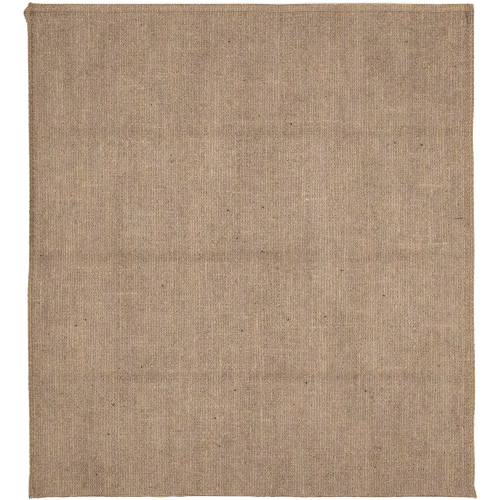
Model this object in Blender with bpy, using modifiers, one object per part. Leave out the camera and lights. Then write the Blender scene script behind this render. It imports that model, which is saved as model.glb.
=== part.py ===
"""Empty jute sack lying flat: one length of hessian folded at the bottom, its two side edges sewn
together, and a narrow hem turned outwards round the open mouth.

Metres, +Z up. The sack lies on z = 0, its width along X and its mouth towards +Y. It is one closed
shell: the lower layer is flat, the upper one stands off it, and the pocket between them opens at
the mouth.
"""

import math

import bmesh
import bpy

NAME = "jute_sack"
MM = 0.001

# Sizes of the cloth and of the finished sack, in millimetres
CLOTH = 1.2  # one thickness of hessian
HEM_CLOTH = 2.4  # the cloth doubled by its hem
HEM_WIDTH = 8.0
HEM_STEP = 1.2  # length over which the cloth steps down off the hem
RIM_ROUND = 0.8  # how far in the hem's rounded rim reaches
RIM_SHARE = 0.45  # share of the hem's doubling that is left at the rim itself
LEFT, RIGHT = -225.0, 227.0  # the usual place of each side seam
FOLD, MOUTH = -249.5, 249.8  # the usual place of the bottom fold and of the mouth
SEAM_SPACE = 1.0  # between the two layers where they are sewn together or folded
LIFT = 6.4  # how much further apart they are in the middle
RISE = 72.0  # over this width the upper layer rises from an edge
MOUTH_DROP = 0.8  # the upper lip lies this much lower
CREASE_REACH = 8.0  # half the width of the trough that a sharp packing fold leaves
CREASE_FADE = 30.0  # over this length a crease dies away at its ends
EDGE_HOLD = 60.0  # how far in from an edge its own waviness moves the cloth
FILL_STEP = 26.0  # the widest spacing of the cloth's grid lines

# The two layers are joined round an edge through two points, this far above and below its middle
WRAP_TURN = math.radians(30.0)
WRAP_OUT = (2 * CLOTH + SEAM_SPACE) / 2 * math.cos(WRAP_TURN)

# How far in from each edge the grid lines lie that its seam, hem or fold needs
NEAR_LEFT = (WRAP_OUT, 2.8, 5.0, 8.0, 16.0, 32.0, 52.0, 74.0)
NEAR_RIGHT = (WRAP_OUT, 3.4, 5.2, 7.0, 9.6, 13.0, 24.0, 40.0, 57.0, 76.0)
NEAR_FOLD = (WRAP_OUT, 4.0, 11.0, 25.0, 48.0, 74.0)
NEAR_MOUTH = (0.0, RIM_ROUND, 4.0, HEM_WIDTH, HEM_WIDTH + HEM_STEP, 14.5, 20.5, 34.0)

# Left edge: height up the sack, place of the edge. The top rows are the seam's bulging end.
LEFT_EDGE = (
    (-251.0, -224.9),
    (-238.0, -224.9),
    (-223.0, -224.0),
    (-172.0, -224.2),
    (-131.0, -225.2),
    (-43.0, -225.9),
    (-10.0, -224.2),
    (61.0, -223.7),
    (152.0, -224.7),
    (213.0, -225.4),
    (229.5, -225.9),
    (240.6, -230.0),
    (248.5, -224.8),
    (251.0, -224.6),
)

# Right edge: height up the sack, place of the edge. It ends in a pointed corner at the fold.
RIGHT_EDGE = (
    (-248.0, 230.0),
    (-244.0, 228.9),
    (-238.5, 227.2),
    (-223.0, 227.6),
    (-182.0, 226.7),
    (-147.0, 227.8),
    (-50.0, 226.5),
    (0.0, 227.5),
    (61.0, 226.7),
    (92.0, 226.8),
    (116.0, 225.9),
    (152.0, 227.1),
    (240.0, 227.1),
    (251.0, 225.8),
)

# Place across the sack, bottom fold there, mouth there
END_EDGES = (
    (-225.0, -250.9, 250.9),
    (-219.0, -250.6, 250.8),
    (-205.0, -249.4, 250.2),
    (-150.0, -249.5, 249.3),
    (-50.0, -249.0, 249.6),
    (-5.0, -249.2, 249.8),
    (30.0, -249.5, 249.1),
    (61.0, -249.8, 249.9),
    (120.0, -249.6, 250.1),
    (190.0, -249.5, 249.5),
    (205.0, -249.5, 250.2),
    (222.0, -249.6, 250.6),
    (229.0, -250.9, 250.4),
)

# Folds left by packing it in quarters: direction, place, where it starts and ends, depth
CREASES = (
    ("across", 121.0, -240.0, 240.0, 1.2),
    ("across", -6.0, -240.0, 240.0, 1.3),
    ("across", -129.0, -240.0, 240.0, 1.2),
    ("along", -110.0, -90.0, 10.0, 0.6),
    ("along", -5.0, -250.0, -70.0, 0.9),
    ("along", 120.0, 120.0, 250.0, 1.0),
    ("along", 120.0, -75.0, -25.0, 0.5),
)

# How much each quilted panel between the creases stands up: rows from the mouth to the fold
PUFFS = (
    (0.2, 0.5, 0.6, 0.3),
    (0.5, 0.9, 1.4, 0.8),
    (0.4, 0.8, 1.1, 0.9),
    (0.1, 0.5, 0.7, 0.4),
)

# Bands along the side seams: side, distance in from the edge, half width, height
SEAM_BANDS = (
    ("left", 2.8, 2.6, 0.8),
    ("right", 3.4, 2.4, 0.9),
    ("right", 7.0, 2.2, -0.4),
    ("right", 9.6, 2.4, 0.3),
)

HESSIAN_COLOUR = (0.407, 0.287, 0.198, 1.0)


def ease(t):
    t = min(max(t, 0.0), 1.0)
    return t * t * (3.0 - 2.0 * t)


def bell(t):
    return 0.5 * (1.0 + math.cos(math.pi * t)) if abs(t) < 1.0 else 0.0


def read(table, at, column=1):
    """The column's value where the first column is at, eased between rows."""
    if at <= table[0][0]:
        return table[0][column]
    for low, high in zip(table, table[1:]):
        if at <= high[0]:
            share = ease((at - low[0]) / (high[0] - low[0]))
            return low[column] + share * (high[column] - low[column])
    return table[-1][column]


def grid_lines(low_edge, high_edge, near_low, near_high, crease_places):
    """Places between two edges: those that the edges and creases need, with wide gaps filled."""
    needed = {low_edge + inset for inset in near_low}
    needed.update(high_edge - inset for inset in near_high)
    for place in crease_places:
        needed.update((place - CREASE_REACH, place, place + CREASE_REACH))
    needed = sorted(needed)
    lines = [needed[0]]
    for a, b in zip(needed, needed[1:]):
        pieces = math.ceil((b - a) / FILL_STEP)
        lines += [a + (b - a) * k / pieces for k in range(1, pieces + 1)]
    return lines


def in_plan(u, v):
    """Where the point of the even grid lies on the table, moved with the edges near it."""
    left = (read(LEFT_EDGE, v) - LEFT) * (1.0 - ease((u - LEFT) / EDGE_HOLD))
    right = (read(RIGHT_EDGE, v) - RIGHT) * (1.0 - ease((RIGHT - u) / EDGE_HOLD))
    fold = (read(END_EDGES, u, 1) - FOLD) * (1.0 - ease((v - FOLD) / EDGE_HOLD))
    mouth = (read(END_EDGES, u, 2) - MOUTH) * (1.0 - ease((MOUTH - v) / EDGE_HOLD))
    return u + left + right, v + fold + mouth


def crease_drop(u, v):
    drop = 0.0
    for direction, place, start, end, depth in CREASES:
        off, along = (v - place, u) if direction == "across" else (u - place, v)
        fade = ease((along - start) / CREASE_FADE) * ease((end - along) / CREASE_FADE)
        drop = max(drop, depth * bell(off / CREASE_REACH) * fade)
    return drop


def panel_puff(u, v):
    """The panels' own crowns, in a grid of equal panels."""
    rows, columns = len(PUFFS), len(PUFFS[0])
    across = columns * (u - LEFT) / (RIGHT - LEFT)
    down = rows * (MOUTH - v) / (MOUTH - FOLD)
    crown = math.sin(math.pi * (across % 1.0)) * math.sin(math.pi * (down % 1.0))
    return PUFFS[min(int(down), rows - 1)][min(int(across), columns - 1)] * crown


def seam_relief(u):
    relief = 0.0
    for side, inset, half_width, height in SEAM_BANDS:
        distance = u - LEFT if side == "left" else RIGHT - u
        relief += height * bell((distance - inset) / half_width)
    return relief


def hem_share(v):
    """1 on the hem, less at its rounded rim, and 0 below it."""
    inset = MOUTH - v
    if inset < RIM_ROUND / 2:
        return RIM_SHARE
    return 1.0 if inset < HEM_WIDTH + HEM_STEP / 2 else 0.0


def lower_height(u, v):
    """The lower layer's outer surface is flat on the table."""
    return 0.0


def upper_height(u, v):
    """The upper layer's outer surface above the table. At the seams it clears both hems."""
    rise = ease((u - LEFT) / RISE) * ease((RIGHT - u) / RISE) * ease((v - FOLD) / RISE)
    lip = MOUTH_DROP * (1.0 - ease((MOUTH - v) / RISE))
    stands = 2 * CLOTH + SEAM_SPACE + (LIFT + panel_puff(u, v) - lip - crease_drop(u, v)) * rise
    hems = hem_share(v) * (HEM_CLOTH - CLOTH) * (2.0 - rise)
    return stands + seam_relief(u) + hems


def lay_cloth(bm, across, along, height, hem):
    """One layer of the sack as a grid of verts, laid[i][j] at across[i], along[j]."""
    made = bmesh.ops.create_grid(
        bm, x_segments=len(across) - 1, y_segments=len(along) - 1, size=1.0
    )
    laid = [[None] * len(along) for _ in across]
    for vert in made["verts"]:
        i = round((vert.co.x + 1.0) / 2.0 * (len(across) - 1))
        j = round((vert.co.y + 1.0) / 2.0 * (len(along) - 1))
        laid[i][j] = vert
    for i, u in enumerate(across):
        for j, v in enumerate(along):
            x, y = in_plan(u, v)
            laid[i][j].co = (x * MM, y * MM, height(u, v) * MM)
            laid[i][j][hem][0] = hem_share(v)
    return laid


def wrap_edges(bm, lower, upper, hem):
    """Rounds the cloth from one layer to the other, down one seam, along the fold and up the other."""
    right, top = len(lower) - 1, len(lower[0]) - 1
    path = [(0, j) for j in range(top, 0, -1)]
    path += [(i, 0) for i in range(right + 1)]
    path += [(right, j) for j in range(1, top + 1)]
    chains = []
    for turn in (-WRAP_TURN, WRAP_TURN):
        chain = []
        for i, j in path:
            low, high = lower[i][j].co, upper[i][j].co
            radius = (high.z - low.z) / 2
            x = low.x + WRAP_OUT * MM * ((i == right) - (i == 0))
            y = low.y - WRAP_OUT * MM * (j == 0)
            chain.append(bm.verts.new((x, y, radius + radius * math.sin(turn))))
            chain[-1][hem][0] = lower[i][j][hem][0]
        chains.append(chain)
    rows = [[lower[i][j] for i, j in path], *chains, [upper[i][j] for i, j in path]]
    for below, above in zip(rows, rows[1:]):
        for k in range(len(path) - 1):
            bm.faces.new((below[k], below[k + 1], above[k + 1], above[k]))


def face_outwards(bm, upper):
    bmesh.ops.recalc_face_normals(bm, faces=bm.faces)
    middle = upper[len(upper) // 2][len(upper[0]) // 2]
    if middle.link_faces[0].normal.z < 0.0:
        bmesh.ops.reverse_faces(bm, faces=bm.faces)


def hessian_material():
    material = bpy.data.materials.new("hessian")
    material.use_nodes = True
    shader = material.node_tree.nodes["Principled BSDF"]
    shader.inputs["Base Color"].default_value = HESSIAN_COLOUR
    shader.inputs["Roughness"].default_value = 0.95
    shader.inputs["Metallic"].default_value = 0.0
    return material


def make_sack(collection):
    """The outer skin of the whole bag, thickened inwards into cloth, twice as thick at the hem."""
    bm = bmesh.new()
    folds_along = sorted({place for way, place, *_ in CREASES if way == "along"})
    folds_across = [place for way, place, *_ in CREASES if way == "across"]
    across = grid_lines(LEFT, RIGHT, NEAR_LEFT, NEAR_RIGHT, folds_along)
    along = grid_lines(FOLD, MOUTH, NEAR_FOLD, NEAR_MOUTH, folds_across)
    hem = bm.verts.layers.deform.verify()
    lower = lay_cloth(bm, across, along, lower_height, hem)
    upper = lay_cloth(bm, across, along, upper_height, hem)
    wrap_edges(bm, lower, upper, hem)
    face_outwards(bm, upper)

    mesh = bpy.data.meshes.new("sack_cloth")
    bm.to_mesh(mesh)
    bm.free()
    sack = bpy.data.objects.new("sack_cloth", mesh)
    collection.objects.link(sack)
    mesh.materials.append(hessian_material())
    mesh.shade_smooth()

    sack.vertex_groups.new(name="hem")
    thicken = sack.modifiers.new("cloth thickness", "SOLIDIFY")
    thicken.thickness = HEM_CLOTH * MM
    thicken.offset = -1.0
    thicken.vertex_group = "hem"
    thicken.thickness_vertex_group = CLOTH / HEM_CLOTH
    return sack


def clear_scene():
    for old in list(bpy.data.objects):
        bpy.data.objects.remove(old)


clear_scene()
jute_sack = bpy.data.collections.new(NAME)
bpy.context.scene.collection.children.link(jute_sack)
make_sack(jute_sack)
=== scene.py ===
import math

import bpy
import numpy as np
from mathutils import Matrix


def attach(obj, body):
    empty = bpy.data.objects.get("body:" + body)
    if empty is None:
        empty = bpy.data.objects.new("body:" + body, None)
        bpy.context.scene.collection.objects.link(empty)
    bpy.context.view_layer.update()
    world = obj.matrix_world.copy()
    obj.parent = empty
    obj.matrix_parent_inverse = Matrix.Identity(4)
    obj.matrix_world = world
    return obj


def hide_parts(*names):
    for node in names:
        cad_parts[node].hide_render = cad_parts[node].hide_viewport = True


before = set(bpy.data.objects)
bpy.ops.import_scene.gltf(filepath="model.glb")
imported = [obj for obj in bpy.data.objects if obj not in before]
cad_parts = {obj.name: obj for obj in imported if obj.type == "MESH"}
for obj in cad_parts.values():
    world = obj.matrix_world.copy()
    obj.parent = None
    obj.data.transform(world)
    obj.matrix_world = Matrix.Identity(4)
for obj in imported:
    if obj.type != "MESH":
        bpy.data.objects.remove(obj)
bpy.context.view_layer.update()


# Camera: straight above the sack, square to it, with the mouth at the top of the view.
# A long lens, so that the sides of the sack stay upright.
MM = 0.001
VIEW_WIDTH = 506.9 * MM  # what the view spans at the level of the cloth
LENS, SENSOR = 100.0, 36.0
CLOTH_LEVEL = 5.0 * MM
BELOW_CAMERA = (-0.2 * MM, 0.85 * MM)  # the point that the camera stands over

camera_data = bpy.data.cameras.new("camera")
camera_data.lens = LENS
camera_data.sensor_width = SENSOR
camera_data.dof.use_dof = False
camera = bpy.data.objects.new("camera", camera_data)
bpy.context.scene.collection.objects.link(camera)
camera.location = (*BELOW_CAMERA, CLOTH_LEVEL + VIEW_WIDTH * LENS / SENSOR)
bpy.context.scene.camera = camera
bpy.context.scene.view_settings.view_transform = "Standard"
# The denoiser takes a weave this fine for noise and smears it
bpy.context.scene.cycles.use_denoising = False
bpy.context.scene.cycles.filter_width = 0.85


# Studio: a plain pale sweep, one large soft lamp beyond the mouth of the sack and an even white
# room, so that the panels between the packing folds and the weave show by soft shade.
KEY_TILT = 4.0  # degrees
KEY_DISTANCE = 1.15
KEY_ASIDE = 0.02
KEY_SIZE = (0.7, 0.5)
KEY_WATTS = 7.6
ROOM_LIGHT = 0.68
FLOOR_SIZE = 9.0


def linear(code):
    """An sRGB hex colour as the linear RGBA that the shader takes."""
    parts = [int(code[k:k + 2], 16) / 255.0 for k in (1, 3, 5)]
    return [p / 12.92 if p <= 0.04045 else ((p + 0.055) / 1.055) ** 2.4 for p in parts] + [1.0]


def add_node(tree, kind, inputs=(), **settings):
    """Adds a node with its settings. Its inputs, by name or number, take values or links."""
    made = tree.nodes.new(kind)
    for name, value in settings.items():
        setattr(made, name, value)
    for name, value in dict(inputs).items():
        if isinstance(value, bpy.types.NodeSocket):
            tree.links.new(value, made.inputs[name])
        else:
            made.inputs[name].default_value = value
    return made


def new_material(name):
    """An empty material with its output, its shader and the shader's tree."""
    material = bpy.data.materials.new(name)
    material.use_nodes = True
    tree = material.node_tree
    return material, tree, tree.nodes["Principled BSDF"]


world = bpy.data.worlds.new("white_room")
bpy.context.scene.world = world
world.use_nodes = True
world.node_tree.nodes["Background"].inputs["Color"].default_value = (1.0, 1.0, 1.0, 1.0)
world.node_tree.nodes["Background"].inputs["Strength"].default_value = ROOM_LIGHT

key_data = bpy.data.lights.new("soft_lamp", "AREA")
key_data.shape = "RECTANGLE"
key_data.size, key_data.size_y = KEY_SIZE
key_data.energy = KEY_WATTS
key = bpy.data.objects.new("soft_lamp", key_data)
bpy.context.scene.collection.objects.link(key)
tilt = math.radians(KEY_TILT)
key.location = (KEY_ASIDE, KEY_DISTANCE * math.sin(tilt), KEY_DISTANCE * math.cos(tilt))
key.rotation_euler = (-tilt, 0.0, 0.0)
key.visible_camera = False

# Matt white laminate, slightly off white
floor_material, floor_tree, floor_shader = new_material("matt_white_laminate")
floor_grain = add_node(floor_tree, "ShaderNodeTexNoise", {"Scale": 9.0, "Detail": 3.0})
floor_tint = add_node(
    floor_tree, "ShaderNodeMix",
    {"Factor": floor_grain.outputs["Fac"], 6: linear("#FBFBFA"), 7: linear("#FEFEFD")},
    data_type="RGBA",
)
floor_tree.links.new(floor_tint.outputs[2], floor_shader.inputs["Base Color"])
floor_shader.inputs["Roughness"].default_value = 0.6
floor_shader.inputs["Specular IOR Level"].default_value = 0.2
bpy.ops.object.select_all(action="DESELECT")
bpy.ops.mesh.primitive_plane_add(size=FLOOR_SIZE, location=(0.0, 0.0, 0.0))
floor = bpy.context.object
floor.name = "floor"
bpy.ops.object.mode_set(mode="EDIT")
bpy.ops.mesh.subdivide(number_cuts=8)
bpy.ops.object.mode_set(mode="OBJECT")
floor.data.materials.append(floor_material)


# Hessian cloth: one length of plain-woven jute, folded at the bottom of the sack, with a narrow hem
# turned outwards round the mouth. Each warp and weft is a spun yarn of its own, over one and under
# the next. The warps and the wefts of a layer are two pieces, only to keep each piece small.
CLOTH = 1.2  # thickness of the hessian, in millimetres, as is all below
WARP_PITCH = 2.466
WARP_FILL, WEFT_FILL = 0.93, 0.97  # a yarn's width as a share of its distance from its neighbours
YARN_TOP, YARN_SIDE = 0.26, 0.12  # how far a yarn's crest and sides lie from its middle
WARP_CRIMP, WEFT_CRIMP = 0.15, 0.12  # how far each swings as it passes over and under
LARGEST_HOLE = 0.13  # between four yarns, in square millimetres
WARP_PROUD = 0.05  # the tight warps stand this much further out than the wefts
LEFT, RIGHT = -225.0, 227.0  # the usual place of each side seam
FOLD, MOUTH = -249.5, 249.8  # the usual place of the bottom fold and of the mouth
HEM_WIDTH = 8.0
HEM_EASE = 4.0  # over this length the cloth swells to the doubled thickness of the hem
SEAM_SPACE = 1.0  # between the two layers where they are sewn together or folded
LIFT = 6.4  # how much further apart they are in the middle
RISE = 72.0  # over this width the front layer rises from an edge
MOUTH_DROP = 0.8  # the front layer's lip lies this much lower
CREASE_FADE = 30.0  # over this length a crease dies away at its ends
EDGE_HOLD = 60.0  # how far in from an edge its own waviness moves the cloth
TUCK = 1.5  # how far the cloth's edge bulges past the place where it starts to turn
ARC = 2.4  # length of cloth in one quarter turn round an edge
RIM_RADIUS = 0.6
RIM_SET = 0.9  # the rim's turn starts this much short of the mouth line
HEM_PRESSED = 0.25  # the hem's free edge is sewn down on the cloth this much deeper
FLAP_LOOSE = 3.0  # the pressing starts this far past the rim and takes as much again
UNDER_HEM = 5.0  # below this distance from the mouth the yarns turn their crests outwards
FLAP_ROWS = (6.9, 4.7, 2.4)  # wefts in the hem, by distance from the rim along the cloth
FLAP_END = 7.6

# The sides wave a little: place along the edge, place of the edge
LEFT_EDGE = (
    (-251.0, -224.9), (-238.0, -224.8), (-223.0, -223.9), (-172.0, -224.1), (-131.0, -225.1),
    (-43.0, -225.8), (-10.0, -224.3), (61.0, -224.0), (152.0, -225.0), (213.0, -225.7),
    (229.5, -226.1), (240.6, -230.0), (248.5, -224.8), (251.0, -224.6),
)
RIGHT_EDGE = (
    (-248.0, 230.0), (-244.0, 228.9), (-238.5, 227.4), (-223.0, 227.9), (-182.0, 227.1),
    (-147.0, 228.2), (-50.0, 227.0), (0.0, 227.6), (61.0, 226.7), (92.0, 226.8), (116.0, 225.9),
    (152.0, 227.1), (240.0, 227.1), (251.0, 225.8),
)
FOLD_EDGE = (
    (-225.0, -250.9), (-219.0, -250.6), (-205.0, -249.4), (-150.0, -249.5), (-50.0, -249.0),
    (-5.0, -249.2), (30.0, -249.5), (61.0, -249.8), (120.0, -249.6), (222.0, -249.6),
    (229.0, -250.9),
)
MOUTH_EDGE = (
    (-225.0, 250.9), (-219.0, 250.8), (-205.0, 250.2), (-150.0, 249.3), (-50.0, 249.6),
    (-5.0, 249.8), (30.0, 249.1), (61.0, 249.9), (120.0, 250.1), (190.0, 249.5), (205.0, 250.2),
    (222.0, 250.6), (229.0, 250.4),
)
# Folds left by packing: direction, place, start, end, depth, half width
CREASES = (
    ("across", 121.0, -240.0, 240.0, 1.2, 8.0),
    ("across", -6.0, -240.0, 240.0, 1.3, 8.0),
    ("across", -129.0, -240.0, 240.0, 1.2, 8.0),
    ("along", -110.0, -90.0, 10.0, 0.6, 8.0),
    ("along", -5.0, -250.0, -70.0, 0.9, 8.0),
    ("along", 120.0, 120.0, 250.0, 1.0, 8.0),
    ("along", 120.0, -75.0, -25.0, 0.5, 8.0),
)
# How far each panel of the front puffs up, in rows down from the mouth
PUFFS = np.array((
    (0.2, 0.5, 0.6, 0.3),
    (0.5, 0.9, 1.4, 0.8),
    (0.4, 0.8, 1.1, 0.9),
    (0.1, 0.5, 0.7, 0.4),
))
# Ridges along the side seams: side, distance in from the edge, half width, height
SEAM_BANDS = (
    ("left", 2.8, 2.6, 0.8),
    ("right", 3.4, 2.4, 0.9),
    ("right", 7.0, 2.2, -0.4),
    ("right", 9.6, 2.4, 0.3),
)

chance = np.random.default_rng(1931)


def ease(share):
    """A smooth step from 0 to 1."""
    share = np.clip(share, 0.0, 1.0)
    return share * share * (3.0 - 2.0 * share)


def bell(offset):
    """A smooth hump, 1 at 0 and nothing from 1 on."""
    return np.where(np.abs(offset) < 1.0, 0.5 * (1.0 + np.cos(np.pi * offset)), 0.0)


def read(table, at):
    """The table's second column where its first is at, eased between rows."""
    places, values = np.array(table).T
    row = np.clip(np.searchsorted(places, at) - 1, 0, len(places) - 2)
    share = ease((at - places[row]) / (places[row + 1] - places[row]))
    return values[row] + share * (values[row + 1] - values[row])


def crease_drop(u, v):
    """How far the packing folds press the front layer down."""
    drop = np.zeros_like(u)
    for direction, place, start, end, depth, half in CREASES:
        off, along = (v - place, u) if direction == "across" else (u - place, v)
        fade = ease((along - start) / CREASE_FADE) * ease((end - along) / CREASE_FADE)
        drop = np.maximum(drop, depth * bell(off / half) * fade)
    return drop


def panel_puff(u, v):
    """How far the front layer swells between the packing folds."""
    across = np.clip(PUFFS.shape[1] * (u - LEFT) / (RIGHT - LEFT), 0.0, PUFFS.shape[1] - 0.001)
    down = np.clip(PUFFS.shape[0] * (MOUTH - v) / (MOUTH - FOLD), 0.0, PUFFS.shape[0] - 0.001)
    crown = np.sin(np.pi * (across % 1.0)) * np.sin(np.pi * (down % 1.0))
    return PUFFS[down.astype(int), across.astype(int)] * crown


def layer_heights(u, v):
    """Middle of the cloth's thickness above the table, in the front layer and in the back one."""
    rise = ease((u - LEFT) / RISE) * ease((RIGHT - u) / RISE) * ease((v - FOLD) / RISE)
    lip = MOUTH_DROP * (1.0 - ease((MOUTH - v) / RISE))
    hem = ease((v - (MOUTH - HEM_WIDTH - HEM_EASE)) / HEM_EASE)
    relief = np.zeros_like(u)
    for side, inset, half, height in SEAM_BANDS:
        distance = u - LEFT if side == "left" else RIGHT - u
        relief += height * bell((distance - inset) / half)
    stands = 2 * CLOTH + SEAM_SPACE + (LIFT + panel_puff(u, v) - lip - crease_drop(u, v)) * rise
    front = stands + relief + CLOTH * (1.0 - rise) * hem - CLOTH / 2
    return front, CLOTH / 2 + CLOTH * hem


TO_RIM = (MOUTH - RIM_SET) - (FOLD + TUCK)  # flat run from the bottom fold to the rim's turn
CLOTH_WIDTH = RIGHT - LEFT - 2 * TUCK + 2 * ARC
RIM_AT = ARC + TO_RIM + RIM_RADIUS * math.pi / 2


def lie(s, t):
    """Where a point of the flat cloth lies: s across from its left edge, t along from the middle of
    the fold, above zero on the front."""
    outwards = np.where(t > 0.0, 1.0, -1.0)
    climb = np.abs(t) - ARC
    turn = np.clip((climb - TO_RIM) / RIM_RADIUS, 0.0, np.pi)
    past = np.maximum(climb - TO_RIM - RIM_RADIUS * np.pi, 0.0)
    u = LEFT + TUCK + np.clip(s - ARC, 0.0, CLOTH_WIDTH - 2 * ARC)
    v = FOLD + TUCK + np.clip(climb, 0.0, TO_RIM) - past
    proud = RIM_RADIUS * (1.0 - np.cos(turn)) - HEM_PRESSED * ease((past - FLAP_LOOSE) / FLAP_LOOSE)
    quarter = np.pi / 2
    left_turn = quarter * np.clip(1.0 - s / ARC, 0.0, 1.0)
    right_turn = quarter * np.clip(1.0 - (CLOTH_WIDTH - s) / ARC, 0.0, 1.0)
    fold_turn = quarter * np.clip(-climb / ARC, 0.0, 1.0)
    x = u + (read(LEFT_EDGE, v) - LEFT) * (1.0 - ease((u - LEFT) / EDGE_HOLD))
    x += (read(RIGHT_EDGE, v) - RIGHT) * (1.0 - ease((RIGHT - u) / EDGE_HOLD))
    x += (TUCK + 0.25 * proud) * (np.sin(right_turn) - np.sin(left_turn))
    y = v + (read(FOLD_EDGE, u) - FOLD) * (1.0 - ease((v - FOLD) / EDGE_HOLD))
    y += (read(MOUTH_EDGE, u) - MOUTH) * (1.0 - ease((MOUTH - v) / EDGE_HOLD))
    y += RIM_RADIUS * np.sin(turn) - TUCK * np.sin(fold_turn)
    front, back = layer_heights(u, v)
    level = np.where(t > 0.0, front, back) + outwards * proud
    middle = (front + back) / 2
    z = middle + (level - middle) * np.cos(left_turn + right_turn) * np.cos(fold_turn)
    return np.stack((x, y, z), axis=-1)


def unit(vectors):
    return vectors / np.maximum(np.linalg.norm(vectors, axis=-1, keepdims=True), 1e-9)


def drift(shape, reach):
    """Smooth noise of spread 1 that changes over about reach cells along each axis."""
    waves = np.fft.fft2(chance.normal(size=shape))
    for axis in (0, 1):
        steps = np.fft.fftfreq(shape[axis])
        fade = np.exp(-2.0 * (np.pi * reach[axis] * steps) ** 2)
        waves = waves * (fade[:, None] if axis == 0 else fade[None, :])
    noise = np.fft.ifft2(waves).real
    return noise / noise.std()


TABLE_GAP = 0.02  # a strand that would meet the table is pressed flat just above it


def spin(centres, ups, sections):
    """Rings round each strand's centre line. sections holds each ring's points as (side, up)."""
    along = unit(np.gradient(centres, axis=1))
    side = unit(np.cross(along, ups))
    up = np.cross(side, along)
    rings = side[:, :, None] * sections[..., 0:1] + up[:, :, None] * sections[..., 1:2]
    rings = centres[:, :, None] + rings
    rings[..., 2] = np.maximum(rings[..., 2], TABLE_GAP)
    return rings


STRIP_MARGIN, STRIP_USED = 0.06, 0.88  # of each strand's strip of the bake map


def strand_mesh(name, bundles, material):
    """One object of capped strands. A bundle holds its rings, and per ring its run, tone and lean,
    with the box of the bake map that its strands fill and whether they stand upright there."""
    points, faces, weave_uv, bake_uv, tones, leans = [], [], [], [], [], []
    for rings, run, tone, lean, box, upright in bundles:
        strands, length, sides = rings.shape[:3]
        start = sum(len(p) for p in points)
        number = start + np.arange(strands * length * sides).reshape(strands, length, sides)
        after = np.roll(number, -1, axis=2)
        quads = np.stack(
            (number[:, :-1], number[:, 1:], after[:, 1:], after[:, :-1]), axis=-1
        )
        points.append(rings.reshape(-1, 3))
        tones.append(np.repeat(tone.reshape(-1), sides))
        leans.append(np.repeat(lean.reshape(-1), sides))
        around = np.arange(sides) / sides
        grid = np.broadcast_to(around[None, None, :], (strands, length - 1, sides))
        here, there = run[:, :-1, None] + 0 * grid, run[:, 1:, None] + 0 * grid
        far = grid + 1.0 / sides
        weave_uv.append(np.stack(
            (np.stack((here, there, there, here), -1), np.stack((grid, grid, far, far), -1)), -1
        ).reshape(-1, 2))
        step = np.linspace(0.0, 1.0, length)
        a = np.broadcast_to(step[None, :-1, None], grid.shape)
        b = np.broadcast_to(step[None, 1:, None], grid.shape)
        strip = np.arange(strands)[:, None, None]
        near = (strip + STRIP_MARGIN + STRIP_USED * grid) / strands
        other = (strip + STRIP_MARGIN + STRIP_USED * far) / strands
        long_way = np.stack((a, b, b, a), -1)
        cross_way = np.stack((near, near, other, other), -1)
        flat = (cross_way, long_way) if upright else (long_way, cross_way)
        low, high = np.array(box[:2]), np.array(box[2:])
        bake_uv.append((low + np.stack(flat, -1) * (high - low)).reshape(-1, 2))
        faces += quads.reshape(-1, 4).tolist()
        for ring, place, turned in ((0, a, False), (-1, b, True)):
            cap = number[:, ring, ::-1] if turned else number[:, ring]
            faces += cap.tolist()
            flats = np.stack((run[:, ring, None] + 0 * cap, 0.5 + 0.0 * cap), -1)
            weave_uv.append(flats.reshape(-1, 2))
            end = 0.999 if turned else 0.001
            mid = (np.arange(strands)[:, None] + 0.5 + 0 * cap) / strands
            edge = end + 0.0 * cap
            flat = (mid, edge) if upright else (edge, mid)
            bake_uv.append((low + np.stack(flat, -1) * (high - low)).reshape(-1, 2))
    mesh = bpy.data.meshes.new(name)
    mesh.from_pydata(np.concatenate(points) * MM, [], faces)
    for layer, values in (("threads", weave_uv), ("OFBake", bake_uv)):
        uv = mesh.uv_layers.new(name=layer)
        uv.data.foreach_set("uv", np.concatenate(values).astype(np.float32).ravel())
    mesh.uv_layers.active = mesh.uv_layers["threads"]
    for layer, values in (("tone", tones), ("lean", leans)):
        data = mesh.attributes.new(layer, "FLOAT", "POINT").data
        data.foreach_set("value", np.concatenate(values).astype(np.float32))
    mesh.materials.append(material)
    mesh.shade_smooth()
    mesh.set_sharp_from_angle(angle=math.radians(75.0))
    made = bpy.data.objects.new(name, mesh)
    bpy.context.scene.collection.objects.link(made)
    return made


# Spun jute: coarse dry bast fibre, twisted into an uneven single yarn. It is matt with a faint
# lustre along the fibres, and runs from greyish mauve-brown to straw.
TONE_GAIN = 1.9


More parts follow.
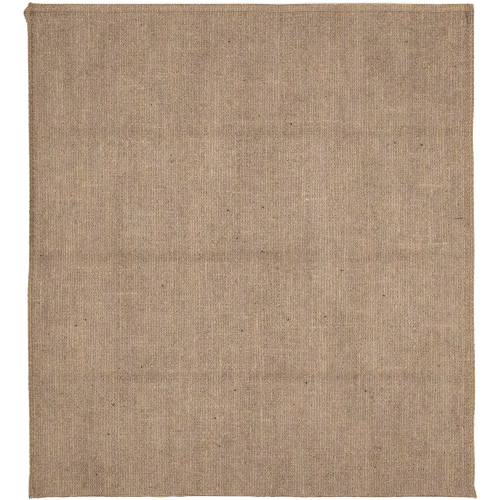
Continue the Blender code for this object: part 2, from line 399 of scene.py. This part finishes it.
def jute_material(name, mauve, straw, rosy, olive, deep, inside, painted_crest_light, painted_crossing_light):
    """The colour wanders between mauve and straw and, apart from that, between rosy and olive.
    painted_crest_light sets how much paler the crest is painted than the flanks, as painted light
    and shade, and painted_crossing_light how much paler a yarn is painted at a crossing than
    between two, or darker where it is below zero."""
    material, tree, shader = new_material(name)
    threads = add_node(tree, "ShaderNodeUVMap", uv_map="threads")
    object_place = add_node(tree, "ShaderNodeTexCoord").outputs["Object"]
    tone = add_node(tree, "ShaderNodeAttribute", attribute_name="tone").outputs["Fac"]
    lean = add_node(tree, "ShaderNodeAttribute", attribute_name="lean").outputs["Fac"]
    # Retting and batching oil leave blotches about 13 mm across and 25 mm along the warp. The noise
    # here counts its cells to the metre, and on the threads map to the millimetre along the yarn.
    stretched = add_node(
        tree, "ShaderNodeMapping", {"Vector": object_place, "Scale": (75.0, 40.0, 45.0)}
    )
    blotch = add_node(
        tree, "ShaderNodeTexNoise",
        {"Vector": stretched.outputs[0], "Scale": 1.0, "Detail": 3.0, "Roughness": 0.62},
    )
    hue = add_node(
        tree, "ShaderNodeMath", {0: blotch.outputs["Fac"], 1: 2.8, 2: -0.9},
        operation="MULTIPLY_ADD",
    )
    hue = add_node(tree, "ShaderNodeMath", {0: hue.outputs[0], 1: lean}, operation="ADD")
    one = add_node(
        tree, "ShaderNodeMix", {0: hue.outputs[0], 6: linear(mauve), 7: linear(straw)},
        data_type="RGBA", clamp_factor=True,
    )
    # Others, about 10 by 21 mm, turn the yarn rosy or olive
    shifted = add_node(
        tree, "ShaderNodeMapping",
        {"Vector": object_place, "Location": (7.0, 3.0, 5.0), "Scale": (100.0, 48.0, 60.0)},
    )
    second = add_node(
        tree, "ShaderNodeTexNoise",
        {"Vector": shifted.outputs[0], "Scale": 1.0, "Detail": 3.0, "Roughness": 0.62},
    )
    cast = add_node(
        tree, "ShaderNodeMath", {0: second.outputs["Fac"], 1: 4.2, 2: -1.6},
        operation="MULTIPLY_ADD",
    )
    other = add_node(
        tree, "ShaderNodeMix", {0: cast.outputs[0], 6: linear(rosy), 7: linear(olive)},
        data_type="RGBA", clamp_factor=True,
    )
    base = add_node(
        tree, "ShaderNodeMix", {0: 0.5, 6: one.outputs[2], 7: other.outputs[2]},
        data_type="RGBA",
    )
    # Fibres lie at the angle of the twist: streaks about 0.3 mm wide and 1.3 mm long, and finer
    twist = add_node(
        tree, "ShaderNodeMapping", {"Vector": threads.outputs[0], "Rotation": (0.0, 0.0, 0.22)}
    )
    twist_scale = add_node(
        tree, "ShaderNodeMapping", {"Vector": twist.outputs[0], "Scale": (0.5, 9.0, 1.0)}
    )
    fibre = add_node(
        tree, "ShaderNodeTexNoise",
        {"Vector": twist_scale.outputs[0], "Scale": 1.6, "Detail": 3.0, "Roughness": 0.7},
    )
    streak = add_node(
        tree, "ShaderNodeMath", {0: fibre.outputs["Fac"], 1: 0.55, 2: 0.725},
        operation="MULTIPLY_ADD",
    )
    # Locks of fibre come paler and darker, about 0.6 mm wide and 1.7 mm long
    clump_scale = add_node(
        tree, "ShaderNodeMapping", {"Vector": twist.outputs[0], "Scale": (0.6, 7.5, 1.0)}
    )
    clump = add_node(
        tree, "ShaderNodeTexNoise",
        {"Vector": clump_scale.outputs[0], "Scale": 1.0, "Detail": 2.0, "Roughness": 0.6},
    )
    clump = add_node(
        tree, "ShaderNodeMath", {0: clump.outputs["Fac"], 1: 4.3, 2: -2.15},
        operation="MULTIPLY_ADD",
    )
    streak = add_node(
        tree, "ShaderNodeMath", {0: streak.outputs[0], 1: clump.outputs[0]}, operation="ADD"
    )
    # A yarn's crest is painted pale and its flanks a deeper brown: painted light and painted shade
    place = add_node(tree, "ShaderNodeSeparateXYZ", {0: threads.outputs[0]})
    crest_and_flank_shading = add_node(tree, "ShaderNodeMath", {0: place.outputs[1], 1: 0.5}, operation="SUBTRACT")
    core = add_node(tree, "ShaderNodeMath", {0: crest_and_flank_shading.outputs[0]}, operation="ABSOLUTE")
    crest_and_flank_shading = add_node(
        tree, "ShaderNodeMath", {0: core.outputs[0], 1: painted_crest_light, 2: 1.0 - 0.333 * painted_crest_light},
        operation="MULTIPLY_ADD",
    )
    # Painted light and shade along the yarn: a wave with a crest at each crossing
    beat = add_node(
        tree, "ShaderNodeMath", {0: place.outputs[0], 1: 2 * math.pi / WARP_PITCH},
        operation="MULTIPLY",
    )
    beat = add_node(tree, "ShaderNodeMath", {0: beat.outputs[0]}, operation="COSINE")
    crest_and_flank_shading = add_node(
        tree, "ShaderNodeMath", {0: beat.outputs[0], 1: painted_crossing_light, 2: crest_and_flank_shading.outputs[0]},
        operation="MULTIPLY_ADD",
    )
    # The yarn's own tone, 1 for the usual one, moves the level between the deep and the base colour
    toned = add_node(tree, "ShaderNodeMath", {0: tone, 1: 1.0}, operation="SUBTRACT")
    level = add_node(
        tree, "ShaderNodeMath", {0: toned.outputs[0], 1: TONE_GAIN, 2: streak.outputs[0]},
        operation="MULTIPLY_ADD",
    )
    level = add_node(
        tree, "ShaderNodeMath", {0: level.outputs[0], 1: crest_and_flank_shading.outputs[0]}, operation="MULTIPLY"
    )
    shade = add_node(
        tree, "ShaderNodeMix", {0: level.outputs[0], 6: linear(deep), 7: base.outputs[2]},
        data_type="RGBA", clamp_factor=False,
    )
    # The side of the yarn that faces into the sack is painted paler: painted light that lifts the
    # holes
    hidden = add_node(
        tree, "ShaderNodeMath", {0: core.outputs[0], 1: 0.14}, operation="LESS_THAN"
    )
    shade = add_node(
        tree, "ShaderNodeMix", {0: hidden.outputs[0], 6: shade.outputs[2], 7: linear(inside)},
        data_type="RGBA",
    )
    tree.links.new(shade.outputs[2], shader.inputs["Base Color"])
    rough = add_node(
        tree, "ShaderNodeMath", {0: fibre.outputs["Fac"], 1: 0.3, 2: 0.45},
        operation="MULTIPLY_ADD",
    )
    tree.links.new(rough.outputs[0], shader.inputs["Roughness"])
    ridges = add_node(
        tree, "ShaderNodeBump",
        {"Height": fibre.outputs["Fac"], "Strength": 0.6, "Distance": 0.15 * MM},
    )
    tree.links.new(ridges.outputs[0], shader.inputs["Normal"])
    shader.inputs["Specular IOR Level"].default_value = 0.6
    return material


# Mauve, straw, rosy, olive, deep shade, and the inside of the sack painted pale to light the holes
HESSIAN = ("#937A68", "#9C805B", "#997A65", "#947F63", "#5C380F", "#CBAC86")
warp_jute = jute_material("jute_warp_yarn", *HESSIAN, painted_crest_light=2.45, painted_crossing_light=-0.10)
weft_jute = jute_material("jute_weft_yarn", *HESSIAN, painted_crest_light=1.45, painted_crossing_light=0.0)

# The rows of wefts run from the front hem's edge, over the mouth, down, under and back up
WEFT_SPACING = 2.978
weft_rows = round(2 * RIM_AT / WEFT_SPACING)
WEFT_PITCH = 2 * RIM_AT / weft_rows
main_rows = RIM_AT - WEFT_PITCH * np.arange(weft_rows + 1)
flap_rows = RIM_AT + np.array(FLAP_ROWS)
row_places = np.concatenate((flap_rows, main_rows, -flap_rows[::-1]))
row_places = np.concatenate(([RIM_AT + FLAP_END], row_places, [-RIM_AT - FLAP_END]))
warp_count = round(CLOTH_WIDTH / WARP_PITCH)
warp_places = CLOTH_WIDTH * (np.arange(warp_count) + 0.5) / warp_count
warp_places = np.concatenate(([0.0], warp_places, [CLOTH_WIDTH]))
size = (len(warp_places), len(row_places))

# Hand-fed looms and uneven yarn: the yarns crowd and part a little and wander as they run, less
# so close to the sides and the rim, which hold them in line
hold = np.minimum(1.0, np.minimum(warp_places, CLOTH_WIDTH - warp_places) / 16.0)[:, None]
rim_hold = np.minimum(1.0, np.abs(np.abs(row_places) - RIM_AT) / 12.0)[None, :]
rim_hold = np.where(np.abs(row_places)[None, :] > RIM_AT, 0.0, rim_hold)
warp_jitter = 0.06 * chance.normal(size=(size[0], 1))
warp_wander = 0.9 * drift(size, (4.0, 22.0)) + 0.16 * drift(size, (0.4, 6.0))
warp_wander += 0.17 * drift(size, (0.3, 1.2))
weft_jitter = 0.06 * chance.normal(size=(1, size[1]))
weft_wander = 1.0 * drift(size, (9.0, 4.0)) + 0.18 * drift(size, (2.5, 0.4))
weft_wander += 0.22 * drift(size, (0.8, 0.3))
s_place = warp_places[:, None] + (warp_jitter + warp_wander) * hold
t_place = row_places[None, :] + (weft_jitter + weft_wander) * rim_hold
in_hem = np.abs(row_places) > RIM_AT + 1.0
# The warps of the hem's flap don't keep in line with those under them
hem_sway = 0.35 * np.sin(4.1 * np.outer(np.arange(1, size[0] - 1), row_places[in_hem]))
s_place[1:-1, in_hem] += hem_sway
nodes = lie(s_place, t_place)
# The cloth's outward direction, from its slope over this far each way
STEP = 0.4
out = np.cross(
    lie(s_place + STEP, t_place) - lie(s_place - STEP, t_place),
    lie(s_place, t_place - STEP) - lie(s_place, t_place + STEP),
)
out = -unit(out)
# Plain weave: at every other crossing the warp lies over the weft
over = np.where((np.arange(size[0])[:, None] + np.arange(size[1])[None, :]) % 2 == 0, 1.0, -1.0)
over[[0, -1], :] = 0.0
over[:, [0, -1]] = 0.0
rims = [int(np.argmin(np.abs(row_places - side * RIM_AT))) for side in (1.0, -1.0)]
over[:, rims] = 1.0  # the weft on the rim itself stays outside, and gives a smooth edge
crest_side = np.where(np.abs(row_places) > RIM_AT - UNDER_HEM, -1.0, 1.0)

warp_size = 1.0 + 0.04 * chance.normal(size=(size[0], 1)) + 0.05 * drift(size, (0.3, 5.0))
warp_size = warp_size + 0.08 * drift(size, (0.2, 0.6))
weft_size = 1.0 + 0.02 * chance.normal(size=(1, size[1])) + 0.04 * drift(size, (4.0, 0.3))
weft_size = weft_size + 0.10 * drift(size, (0.5, 0.2))
warp_size = warp_size * WARP_FILL * np.gradient(s_place, axis=0)
weft_size = weft_size * WEFT_FILL * np.abs(np.gradient(t_place, axis=1))
WARP_WIDTHS, WEFT_WIDTHS = (1.3, 2.9), (1.6, 3.9)  # the thinnest and the thickest yarn
warp_size = np.clip(warp_size, *WARP_WIDTHS)
weft_size = np.clip(weft_size, *WEFT_WIDTHS)
HEM_FILL = 0.97  # the hem's warps lie side by side
warp_size[:, in_hem] = np.maximum(warp_size[:, in_hem], HEM_FILL * WARP_PITCH)


def gaps(places, sizes, axis):
    """Free space between neighbouring yarns, taken half way to the next yarn of the other kind."""
    spans = np.abs(np.diff(places, axis=axis)) - (np.diff(sizes, axis=axis) / 2 + (
        sizes[:-1] if axis == 0 else sizes[:, :-1]))
    return (spans[:, :-1] + spans[:, 1:]) / 2 if axis == 0 else (spans[:-1] + spans[1:]) / 2


# A hole that would be wider than this closes, as the wefts beside it spread, and in the seams and
# the hem, where the cloth lies double, no hole shows
u, v = nodes[..., 0], nodes[..., 1]
SEAM_TIGHT, HEM_TIGHT = 9.0, 11.0  # how far in from a seam and from the rim this holds
pressed = np.maximum(
    np.maximum(bell((u - LEFT) / SEAM_TIGHT), bell((RIGHT - u - 4.0) / SEAM_TIGHT)),
    np.where(np.abs(row_places) > RIM_AT - HEM_TIGHT, 1.0, 0.0),
)
largest = LARGEST_HOLE * (1.0 - 0.8 * pressed[:-1, :-1])
swell = gaps(t_place, weft_size, 1) - largest / np.maximum(gaps(s_place, warp_size, 0), 0.1)
swell = np.clip(swell, 0.0, 1.0)
for warp_by in (0, 1):
    for row_by in (0, 1):
        part = weft_size[warp_by:size[0] - 1 + warp_by, row_by:size[1] - 1 + row_by]
        part += 0.5 * swell  # part is a view, so this widens the wefts themselves
RIM_WIDTH = 2.0  # the weft on the rim is pressed narrow
weft_size[:, rims] = np.minimum(weft_size[:, rims], RIM_WIDTH)

# Each yarn has its own tone, which wanders as it runs
warp_tone = 1.0 + 0.015 * chance.normal(size=(size[0], 1)) + 0.03 * drift(size, (0.3, 9.0))
weft_tone = 1.0 + 0.01 * chance.normal(size=(1, size[1])) + 0.02 * drift(size, (5.0, 0.3))
warp_tone = warp_tone + 0.05 * drift(size, (0.2, 0.4))
weft_tone = weft_tone + 0.05 * drift(size, (0.4, 0.2))

# Soil patches, and painted shade in the three at the corners: middle across, middle up, half width,
# half height, and how much darker they are
SOIL_AND_SHADE_PATCHES = (
    (190.0, -15.0, 70.0, 130.0, -0.07), (0.0, -167.0, 50.0, 80.0, 0.06),
    (35.0, 165.0, 60.0, 60.0, 0.03), (222.0, 240.0, 22.0, 30.0, 0.08),
    (225.0, -248.0, 14.0, 34.0, 0.10), (-222.0, 248.0, 14.0, 12.0, 0.10),
)
in_left, in_right, in_fold, in_mouth = u - LEFT, RIGHT - u, v - FOLD, MOUTH - v
# Painted shade darkens the packing folds, and painted light brightens the panels swelling between
soil_and_painted_shade = 0.008 + 0.045 * crease_drop(u, v) - 0.025 * panel_puff(u, v)
# Painted shade on the left side, most of all in a line inside its seam, in the half towards the
# mouth
soil_and_painted_shade += (0.09 - 0.015 * ease(v / 60.0)) * (1.0 - ease(in_left / 45.0))
soil_and_painted_shade += (0.03 + 0.17 * ease((v + 15.0) / 30.0)) * bell((in_left - 3.2) / 3.2)
# Painted light lifts the turned sides out of their shade, and the strip beside the right one is
# paler
soil_and_painted_shade -= 0.18 * bell(in_left / 3.6) + 0.13 * bell(in_right / 6.0)
soil_and_painted_shade -= 0.04 * (1.0 - ease(in_right / 40.0)) * ease(in_fold / 90.0)
# Painted shade darkens the cloth towards the mouth and towards the bottom
soil_and_painted_shade += 0.085 * (1.0 - ease(in_mouth / 155.0)) + 0.05 * (1.0 - ease(in_fold / 50.0))
# Painted shade in the groove inside the right seam, and the bottom fold itself is paler
soil_and_painted_shade += 0.10 * bell((in_right - 5.7) / 2.2) - 0.06 * (1.0 - ease(in_fold / 6.0))
for across, up, half_width, half_height, dark in SOIL_AND_SHADE_PATCHES:
    soil_and_painted_shade += dark * bell((u - across) / half_width) * bell((v - up) / half_height)
# Fine uneven soil, and the hem and its rim paler than the rest
soil_and_painted_shade += 0.020 * drift(size, (4.0, 3.3)) + 0.02 * drift(size, (2.0, 14.0))
soil_and_painted_shade -= 0.08 * (np.abs(row_places) > RIM_AT - 1.0)
soil_and_painted_shade[:, rims] -= 0.12
warp_tone, weft_tone = warp_tone - soil_and_painted_shade, weft_tone - soil_and_painted_shade

# Slubs: thick pale lengths of weft, listed by their ends across and their height
SLUBS = (
    (188.5, 210.8, -197.3), (192.6, 215.9, 184.4), (170.3, 185.5, 191.0), (-29.5, -11.3, 196.1),
    (-187.7, -131.9, -15.8), (60.0, 74.0, 101.0), (-160.0, -148.0, 66.0), (-84.0, -66.0, -98.0),
)
MIDDLE_ROW = 90  # a weft near the middle of the front
front_nodes = np.where(row_places > 0.0, nodes[..., 1], 1e6)
for start, end, height in SLUBS:
    inside = np.nonzero((u[:, MIDDLE_ROW] > start) & (u[:, MIDDLE_ROW] < end))[0]
    row = int(np.argmin(np.abs(front_nodes[inside].mean(axis=0) - height)))
    bulge = np.sin(np.pi * (np.arange(len(inside)) + 0.5) / len(inside)) ** 0.5
    weft_size[inside, row] += 0.4 * bulge
    weft_tone[inside, row] += 0.16 * bulge
# Fainter and shorter ones lie anywhere on the front, one weft and one warp at a time
FAINT_SLUBS = 260
for _ in range(FAINT_SLUBS):
    along, row, span = chance.integers(2, 170), chance.integers(8, 160), chance.integers(4, 18)
    weft_tone[along:along + span, row] += 0.08
    warp_tone[along:along + span, row] += 0.03
    weft_size[along:along + span, row] += 0.15
    warp, row, span = chance.integers(2, 180), chance.integers(8, 150), chance.integers(3, 16)
    warp_tone[warp, row:row + span] += 0.08
    warp_size[warp, row:row + span] += 0.15

# Each yarn also leans its own way, towards mauve below zero and towards straw above it
warp_lean = 0.05 * chance.normal(size=(size[0], 1)) + 0.06 * drift(size, (0.3, 8.0))
weft_lean = 0.03 * chance.normal(size=(1, size[1])) + 0.06 * drift(size, (8.0, 0.3))
# The edges and the hem turn more golden
oiled = 0.7 * (bell(in_left / 9.0) + bell(in_right / 9.0))
oiled = oiled + 0.25 * (np.abs(row_places) > RIM_AT)
oiled += 0.4 * bell(in_left / 16.0) * (1.0 - ease((v + 30.0) / 60.0))
# Larger casts: middle across, middle up, half width, half height, and the lean towards gold
CASTS = (
    (5.0, 0.0, 25.0, 400.0, -0.13), (15.0, -215.0, 150.0, 45.0, -0.24),
    (-200.0, 150.0, 35.0, 90.0, -0.16), (-205.0, -225.0, 25.0, 35.0, 0.3),
    (205.0, -225.0, 25.0, 35.0, 0.3), (205.0, 225.0, 25.0, 50.0, 0.22),
)
for across, up, half_width, half_height, gold in CASTS:
    oiled += gold * bell((u - across) / half_width) * bell((v - up) / half_height)
warp_lean, weft_lean = warp_lean + oiled, weft_lean + oiled


def yarn_sections(width, side):
    """Crest, left and right of a flattened yarn, turned over where its crest faces inwards."""
    half = width / 2
    crest = np.stack((0 * half, YARN_TOP + 0 * half), -1)
    left = np.stack((-half, -YARN_SIDE + 0 * half), -1)
    right = np.stack((half, -YARN_SIDE + 0 * half), -1)
    return np.stack((crest, left, right), -2) * side[..., None, None]


# Each yarn's fibre pattern starts this many pitches further along than the one before it
WARP_SHIFT, WEFT_SHIFT = 17, 22


def woven_rows(first, last):
    """The warps between two rows, and the wefts from the first row up to before the last."""
    facing = crest_side[min(first + 1, last - 1)]
    rows = slice(first, last + 1)
    outwards = out[1:-1, rows]
    stand = (facing * WARP_PROUD + over * WARP_CRIMP)[1:-1, rows, None]
    width = warp_size[1:-1, rows]
    sections = yarn_sections(width, facing + 0 * width)
    rings = spin(nodes[1:-1, rows] + outwards * stand, outwards, sections)
    along = np.arange(first, last + 1)[None, :] + WARP_SHIFT * np.arange(size[0] - 2)[:, None]
    run = WARP_PITCH * along
    warps = (rings, run, warp_tone[1:-1, rows], warp_lean[1:-1, rows])
    picks = slice(max(first, 1), min(last, size[1] - 1))
    outwards = out[:, picks]
    stand = (facing * WARP_PROUD + over * WEFT_CRIMP)[:, picks, None]
    centres = (nodes[:, picks] - outwards * stand).swapaxes(0, 1)
    width = weft_size[:, picks].T
    sections = yarn_sections(width, facing + 0 * width)
    rings = spin(centres, outwards.swapaxes(0, 1), sections)
    along = np.arange(size[0])[None, :] + WEFT_SHIFT * np.arange(picks.start, picks.stop)[:, None]
    run = WARP_PITCH * along  # a whole pitch at each crossing
    wefts = (rings, run, weft_tone[:, picks].T, weft_lean[:, picks].T)
    return warps, wefts


front_hem = int(np.argmax(crest_side > 0))
back_hem = size[1] - 1 - front_hem
fold_row = int(np.argmin(np.abs(row_places)))
# Each layer's stretches of rows: near the mouth, where the crests are turned over, and the rest
LAYERS = (
    ("sack_front", ((0, front_hem), (front_hem, fold_row))),
    ("sack_back", ((fold_row, back_hem), (back_hem, size[1] - 1))),
)
for name, parts in LAYERS:
    warp_bundles, weft_bundles = [], []
    total = sum(last - first for first, last in parts)
    used = 0.0
    for first, last in parts:
        warps, wefts = woven_rows(first, last)
        share = (last - first) / total
        warp_bundles.append((*warps, (0.0, used, 1.0, used + share), True))
        weft_bundles.append((*wefts, (0.0, used, 1.0, used + share), False))
        used += share
    layer_warps = strand_mesh(name + "_warps", warp_bundles, warp_jute)
    layer_wefts = strand_mesh(name + "_wefts", weft_bundles, weft_jute)
    for piece in (layer_warps, layer_wefts):
        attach(piece, "root")
        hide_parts("sack_cloth")


# Sewing: two-fold jute twine, darker and more orange than the cloth. The hem has one row of running
# stitches, the left side a row of short ones, and the right side a slanting whip stitch over the
# selvedge with a second row inside it, which has sunk between the yarns.
twine_jute = jute_material(
    "jute_sewing_twine", "#947358", "#A17A4C", "#9A7056", "#927A54", "#593716", "#987654",
    painted_crest_light=0.9, painted_crossing_light=0.0,
)
# Twine darkened with painted shade, at the bottom of the weave where little light falls
painted_shade_jute = jute_material(
    "jute_twine_painted_shade", "#5A4433", "#634C36", "#5E4232", "#564A34", "#2E1E12", "#5A4433",
    painted_crest_light=0.6, painted_crossing_light=0.0,
)
STITCH_RINGS, STITCH_SIDES = 7, 5
HEM_RAISE = 2 * RIM_RADIUS - HEM_PRESSED  # the hem's flap lies this much above the layer
LOWEST_STITCH = 0.6  # middle of the twine above the table


def on_front(x, y):
    """How high the middle of the front layer is above the table at x, y."""
    s, t = x - LEFT - TUCK + ARC, y - FOLD - TUCK + ARC
    for _ in range(4):
        s, t = np.clip(s, 0.6, CLOTH_WIDTH - 0.6), np.clip(t, 1.0, ARC + TO_RIM - 0.5)
        found = lie(s, t)
        s, t = s + x - found[..., 0], t + y - found[..., 1]
    return found[..., 2]


def twine(starts, ends, thick, lift, sink=1.0, bow=0.0, tone=1.0, lean=0.0, rings=STITCH_RINGS,
          sides=STITCH_SIDES):
    """Strands that come up out of the cloth at starts, cross it and go down again at ends."""
    starts, ends = np.array(starts, float), np.array(ends, float)
    share = np.linspace(0.0, 1.0, rings)[None, :, None]
    across = (ends - starts)[:, ::-1] * np.array((-1.0, 1.0))
    bow = np.broadcast_to(bow, (len(starts),))[:, None, None]
    path = starts[:, None] + share * (ends - starts)[:, None]
    path = path + across[:, None] * bow * 4.0 * share * (1.0 - share)
    centres = np.concatenate((path, on_front(path[..., 0], path[..., 1])[..., None]), axis=-1)
    arch = np.sin(np.pi * share[..., 0]) ** 0.6
    lift, sink = (np.broadcast_to(value, (len(starts),))[:, None] for value in (lift, sink))
    under_hem = np.abs(centres[..., 1] - (MOUTH - HEM_WIDTH / 2)) < HEM_WIDTH / 2 + 0.6
    centres[..., 2] += arch * (lift + sink) - sink + HEM_RAISE * under_hem
    centres[..., 2] = np.maximum(centres[..., 2], LOWEST_STITCH)
    thick = np.broadcast_to(thick, (len(starts),))[:, None, None]
    angle = 2 * np.pi * np.arange(sides) / sides
    section = np.stack((-np.sin(angle), 0.8 * np.cos(angle)), -1)
    sections = thick[..., None] * section[None, None] + np.zeros((len(starts), rings, 1, 1))
    ups = np.zeros_like(centres) + np.array((0.0, 0.0, 1.0))
    length = np.linalg.norm(ends - starts, axis=1)[:, None]
    run = share[..., 0] * length + 7.3 * np.arange(len(starts))[:, None]
    tones = np.broadcast_to(np.reshape(tone, (-1, 1)), run.shape)
    leans = np.broadcast_to(np.reshape(lean, (-1, 1)), run.shape)
    return spin(centres, ups, sections), run, tones, leans


def row_of(start, end, pitch, spread):
    """Stitch places from start to end, a pitch apart and a little uneven."""
    places = np.arange(start, end, pitch)
    return places + spread * chance.normal(size=len(places))


def beside(table, insets, y, slant):
    """Ends of stitches at two insets from a side edge, the second slant further up."""
    edge = read(table, y)
    jitter = 0.15 * chance.normal(size=(2, len(y)))
    return (np.stack((edge + insets[0] + jitter[0], y), -1),
            np.stack((edge + insets[1] + jitter[1], y + slant), -1))


def sewn(name, bundles, material):
    """Adds one piece from bundles of strands, each with an even share of the bake map."""
    boxed = [(*bundle, (0.0, k / len(bundles), 1.0, (k + 1) / len(bundles)), False)
             for k, bundle in enumerate(bundles)]
    piece = strand_mesh(name, boxed, material)
    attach(piece, "root")


# Near the bottom a short stretch of the whip stitch is wider, thicker and more golden
whip = row_of(-246.0, 228.0, 4.36, 0.25)
fresh = bell((whip + 190.0) / 24.0)
whip_tone = 1.26 + 0.05 * chance.normal(size=len(whip)) - 0.08 * fresh + 0.05 * ease(whip / 60.0)
side_left = row_of(-246.0, 229.0, 4.9, 0.45)
inner = row_of(-246.0, 238.0, 4.4, 0.25)
hem_row = row_of(-219.0, 217.0, 5.0, 0.35)
hem_line = 243.4 + 0.25 * np.sin(hem_row / 31.0)
hem_ends = np.stack((hem_row, hem_line), -1), np.stack((hem_row + 3.5, hem_line + 0.1), -1)
sewn("sack_side_and_hem_stitches", [
    twine(*beside(RIGHT_EDGE, (-4.0 - 0.7 * fresh, -2.3 + 1.1 * fresh), whip, 4.8 - 1.6 * fresh),
          0.86 + 0.2 * fresh, 0.75, tone=whip_tone, lean=1.1 * fresh - 0.25),
    # The left stitches darken towards the mouth with the same painted shade as the cloth beside
    # them
    twine(*beside(LEFT_EDGE, (4.3, 3.5), side_left, 3.4), 0.62, 0.6,
          tone=0.80 - 0.16 * ease((side_left + 15.0) / 30.0)),
    twine(*beside(RIGHT_EDGE, (-8.8, -8.8), inner, 3.0), 0.38, 0.5, tone=1.2),
    twine(*hem_ends, 0.42, 0.5, tone=1.05, lean=-0.3),
], twine_jute)
sewn("sack_sunken_stitches_and_shade_strands", [
    twine(*beside(RIGHT_EDGE, (-9.9, -9.9), inner + 1.0, 1.9), 0.24, 0.36, tone=1.0),
    # Dark strands painted as the shadow in a gap at the hem's right end and in a fold at the bottom
    # left
    twine(((218.6, 242.6), (219.9, 236.9), (-220.1, -238.9)),
          ((220.7, 233.6), (221.7, 227.6), (-218.6, -247.3)), (0.75, 0.6, 0.45), 0.45),
], painted_shade_jute)


# Corner strands: where a row of stitches ends, the same jute twine is tied off by hand, and its
# knots and short ends are left standing at the corners. Start, end, thickness and tone of each.
CORNER_STRANDS = (
    ((-223.7, 245.5), (-228.3, 242.6), 0.6, 1.08), ((-223.7, 242.4), (-229.0, 239.5), 0.6, 1.08),
    ((-223.9, 239.4), (-228.7, 236.8), 0.6, 1.08), ((-223.9, 235.6), (-227.6, 232.6), 0.6, 1.08),
    ((-222.9, 247.8), (-223.1, 244.6), 0.6, 1.08), ((-221.6, 247.9), (-221.3, 245.0), 0.6, 1.08),
    ((220.2, 248.6), (222.0, 248.9), 0.8, 1.0), ((221.0, 246.9), (221.7, 245.9), 0.7, 1.3),
    ((224.0, 237.7), (224.0, 231.6), 0.8, 1.1),
    ((-222.5, -241.0), (-222.9, -247.6), 0.6, 1.0), ((-221.2, -241.5), (-221.4, -247.9), 0.6, 1.0),
    ((-224.2, 249.9), (-222.2, 251.6), 0.6, 0.9), ((-222.4, 251.7), (-221.6, 249.6), 0.6, 0.9),
    ((-221.9, 249.6), (-224.1, 250.0), 0.6, 0.9), ((-223.2, 250.8), (-222.7, 250.7), 0.7, 1.3),
)
first, second, thick, corner_tone = (np.array(column, float) for column in zip(*CORNER_STRANDS))
sewn("sack_corner_strands", [
    twine(first, second, thick, 0.8, sink=0.6, bow=0.08, tone=corner_tone, lean=0.4),
], twine_jute)


# Shives: dark slivers of the jute plant's woody core. They are left in the fibre when it is
# stripped and combed, are spun in with it, and lie stuck in the weave.
SHIVES = np.array((
    (-138.0, -155.7), (-143.1, -185.2), (-15.3, -140.5), (-31.0, -197.3), (56.7, -133.4),
    (-35.6, -168.9), (-21.4, 211.3), (-212.0, -4.7), (134.8, -45.2), (-22.4, 41.0),
    (13.1, 44.0), (12.1, -0.6), (116.5, -141.6), (38.4, -69.6), (-176.5, -75.6),
    (-109.6, -117.2), (173.3, 106.9), (41.5, 128.2), (-166.4, -69.6), (-88.3, -35.1),
    (-13.3, 12.6), (-8.2, -80.7), (92.2, -19.9), (75.9, -66.5),
))
SMALL_SHIVES = 60
scatter = np.stack((chance.uniform(-215, 215, SMALL_SHIVES),
                    chance.uniform(-240, 235, SMALL_SHIVES)), -1)
shive_places = np.concatenate((SHIVES, scatter))
reach = np.concatenate((np.full(len(SHIVES), 1.7), chance.uniform(0.8, 1.6, SMALL_SHIVES)))
turn = chance.uniform(0.0, np.pi, len(shive_places))
step = 0.5 * reach[:, None] * np.stack((np.cos(turn), np.sin(turn)), -1)
width = np.concatenate((np.full(len(SHIVES), 0.62), chance.uniform(0.28, 0.42, SMALL_SHIVES)))
# Dry brown wood rather than bast, with the same grain along it
shive_wood = jute_material(
    "jute_shive_wood", "#5E3A12", "#684312", "#623812", "#5A4010", "#2E1A06", "#5E3A12",
    painted_crest_light=0.5, painted_crossing_light=0.0,
)
sewn("sack_shives", [
    twine(shive_places - step, shive_places + step, width, 0.95, sink=-0.5, rings=4, tone=0.62,
          lean=0.2),
    twine(((205.8, 32.4),), ((215.9, 33.2),), 0.3, 0.5, sink=0.0),  # one long splinter
], shive_wood)


# Loose fibre: jute is hairy, and sheds fine stiff fibres. They lie bent over the weave, most of
# them along the warp, and stand out a little way from both sides.
HAIRS, EDGE_HAIRS = 6500, 420
root_at = np.stack((chance.uniform(-219, 221, HAIRS), chance.uniform(-244, 239, HAIRS)), -1)
turn = chance.normal(1.57, 0.7, HAIRS)
reach = chance.uniform(2.5, 8.0, HAIRS)[:, None]
tip_at = root_at + reach * np.stack((np.cos(turn), np.sin(turn)), -1)
tip_at = np.clip(tip_at, (-223.0, -247.0), (225.0, 240.0))
hair_bow = chance.normal(0.0, 0.10, HAIRS)
hair_tone = 1.25 + 0.12 * chance.normal(size=HAIRS)
edge_y = chance.uniform(-246, 246, EDGE_HAIRS)
on_left = chance.random(EDGE_HAIRS) < 0.5
edge_x = np.where(on_left, read(LEFT_EDGE, edge_y) + 0.6, read(RIGHT_EDGE, edge_y) - 0.6)
outward = np.where(on_left, -1.0, 1.0) * chance.uniform(0.5, 1.6, EDGE_HAIRS)
edge_root = np.stack((edge_x, edge_y), -1)
edge_tip = np.stack((edge_x + outward, edge_y + chance.normal(0.0, 1.6, EDGE_HAIRS)), -1)
sewn("sack_loose_fibres", [
    twine(root_at, tip_at, chance.uniform(0.06, 0.11, HAIRS), 0.62, sink=-0.35, bow=hair_bow,
          tone=hair_tone, lean=0.2, rings=4, sides=3),
    twine(edge_root, edge_tip, 0.055, 0.2, sink=0.0, bow=0.1, tone=1.1, rings=4, sides=3),
], twine_jute)
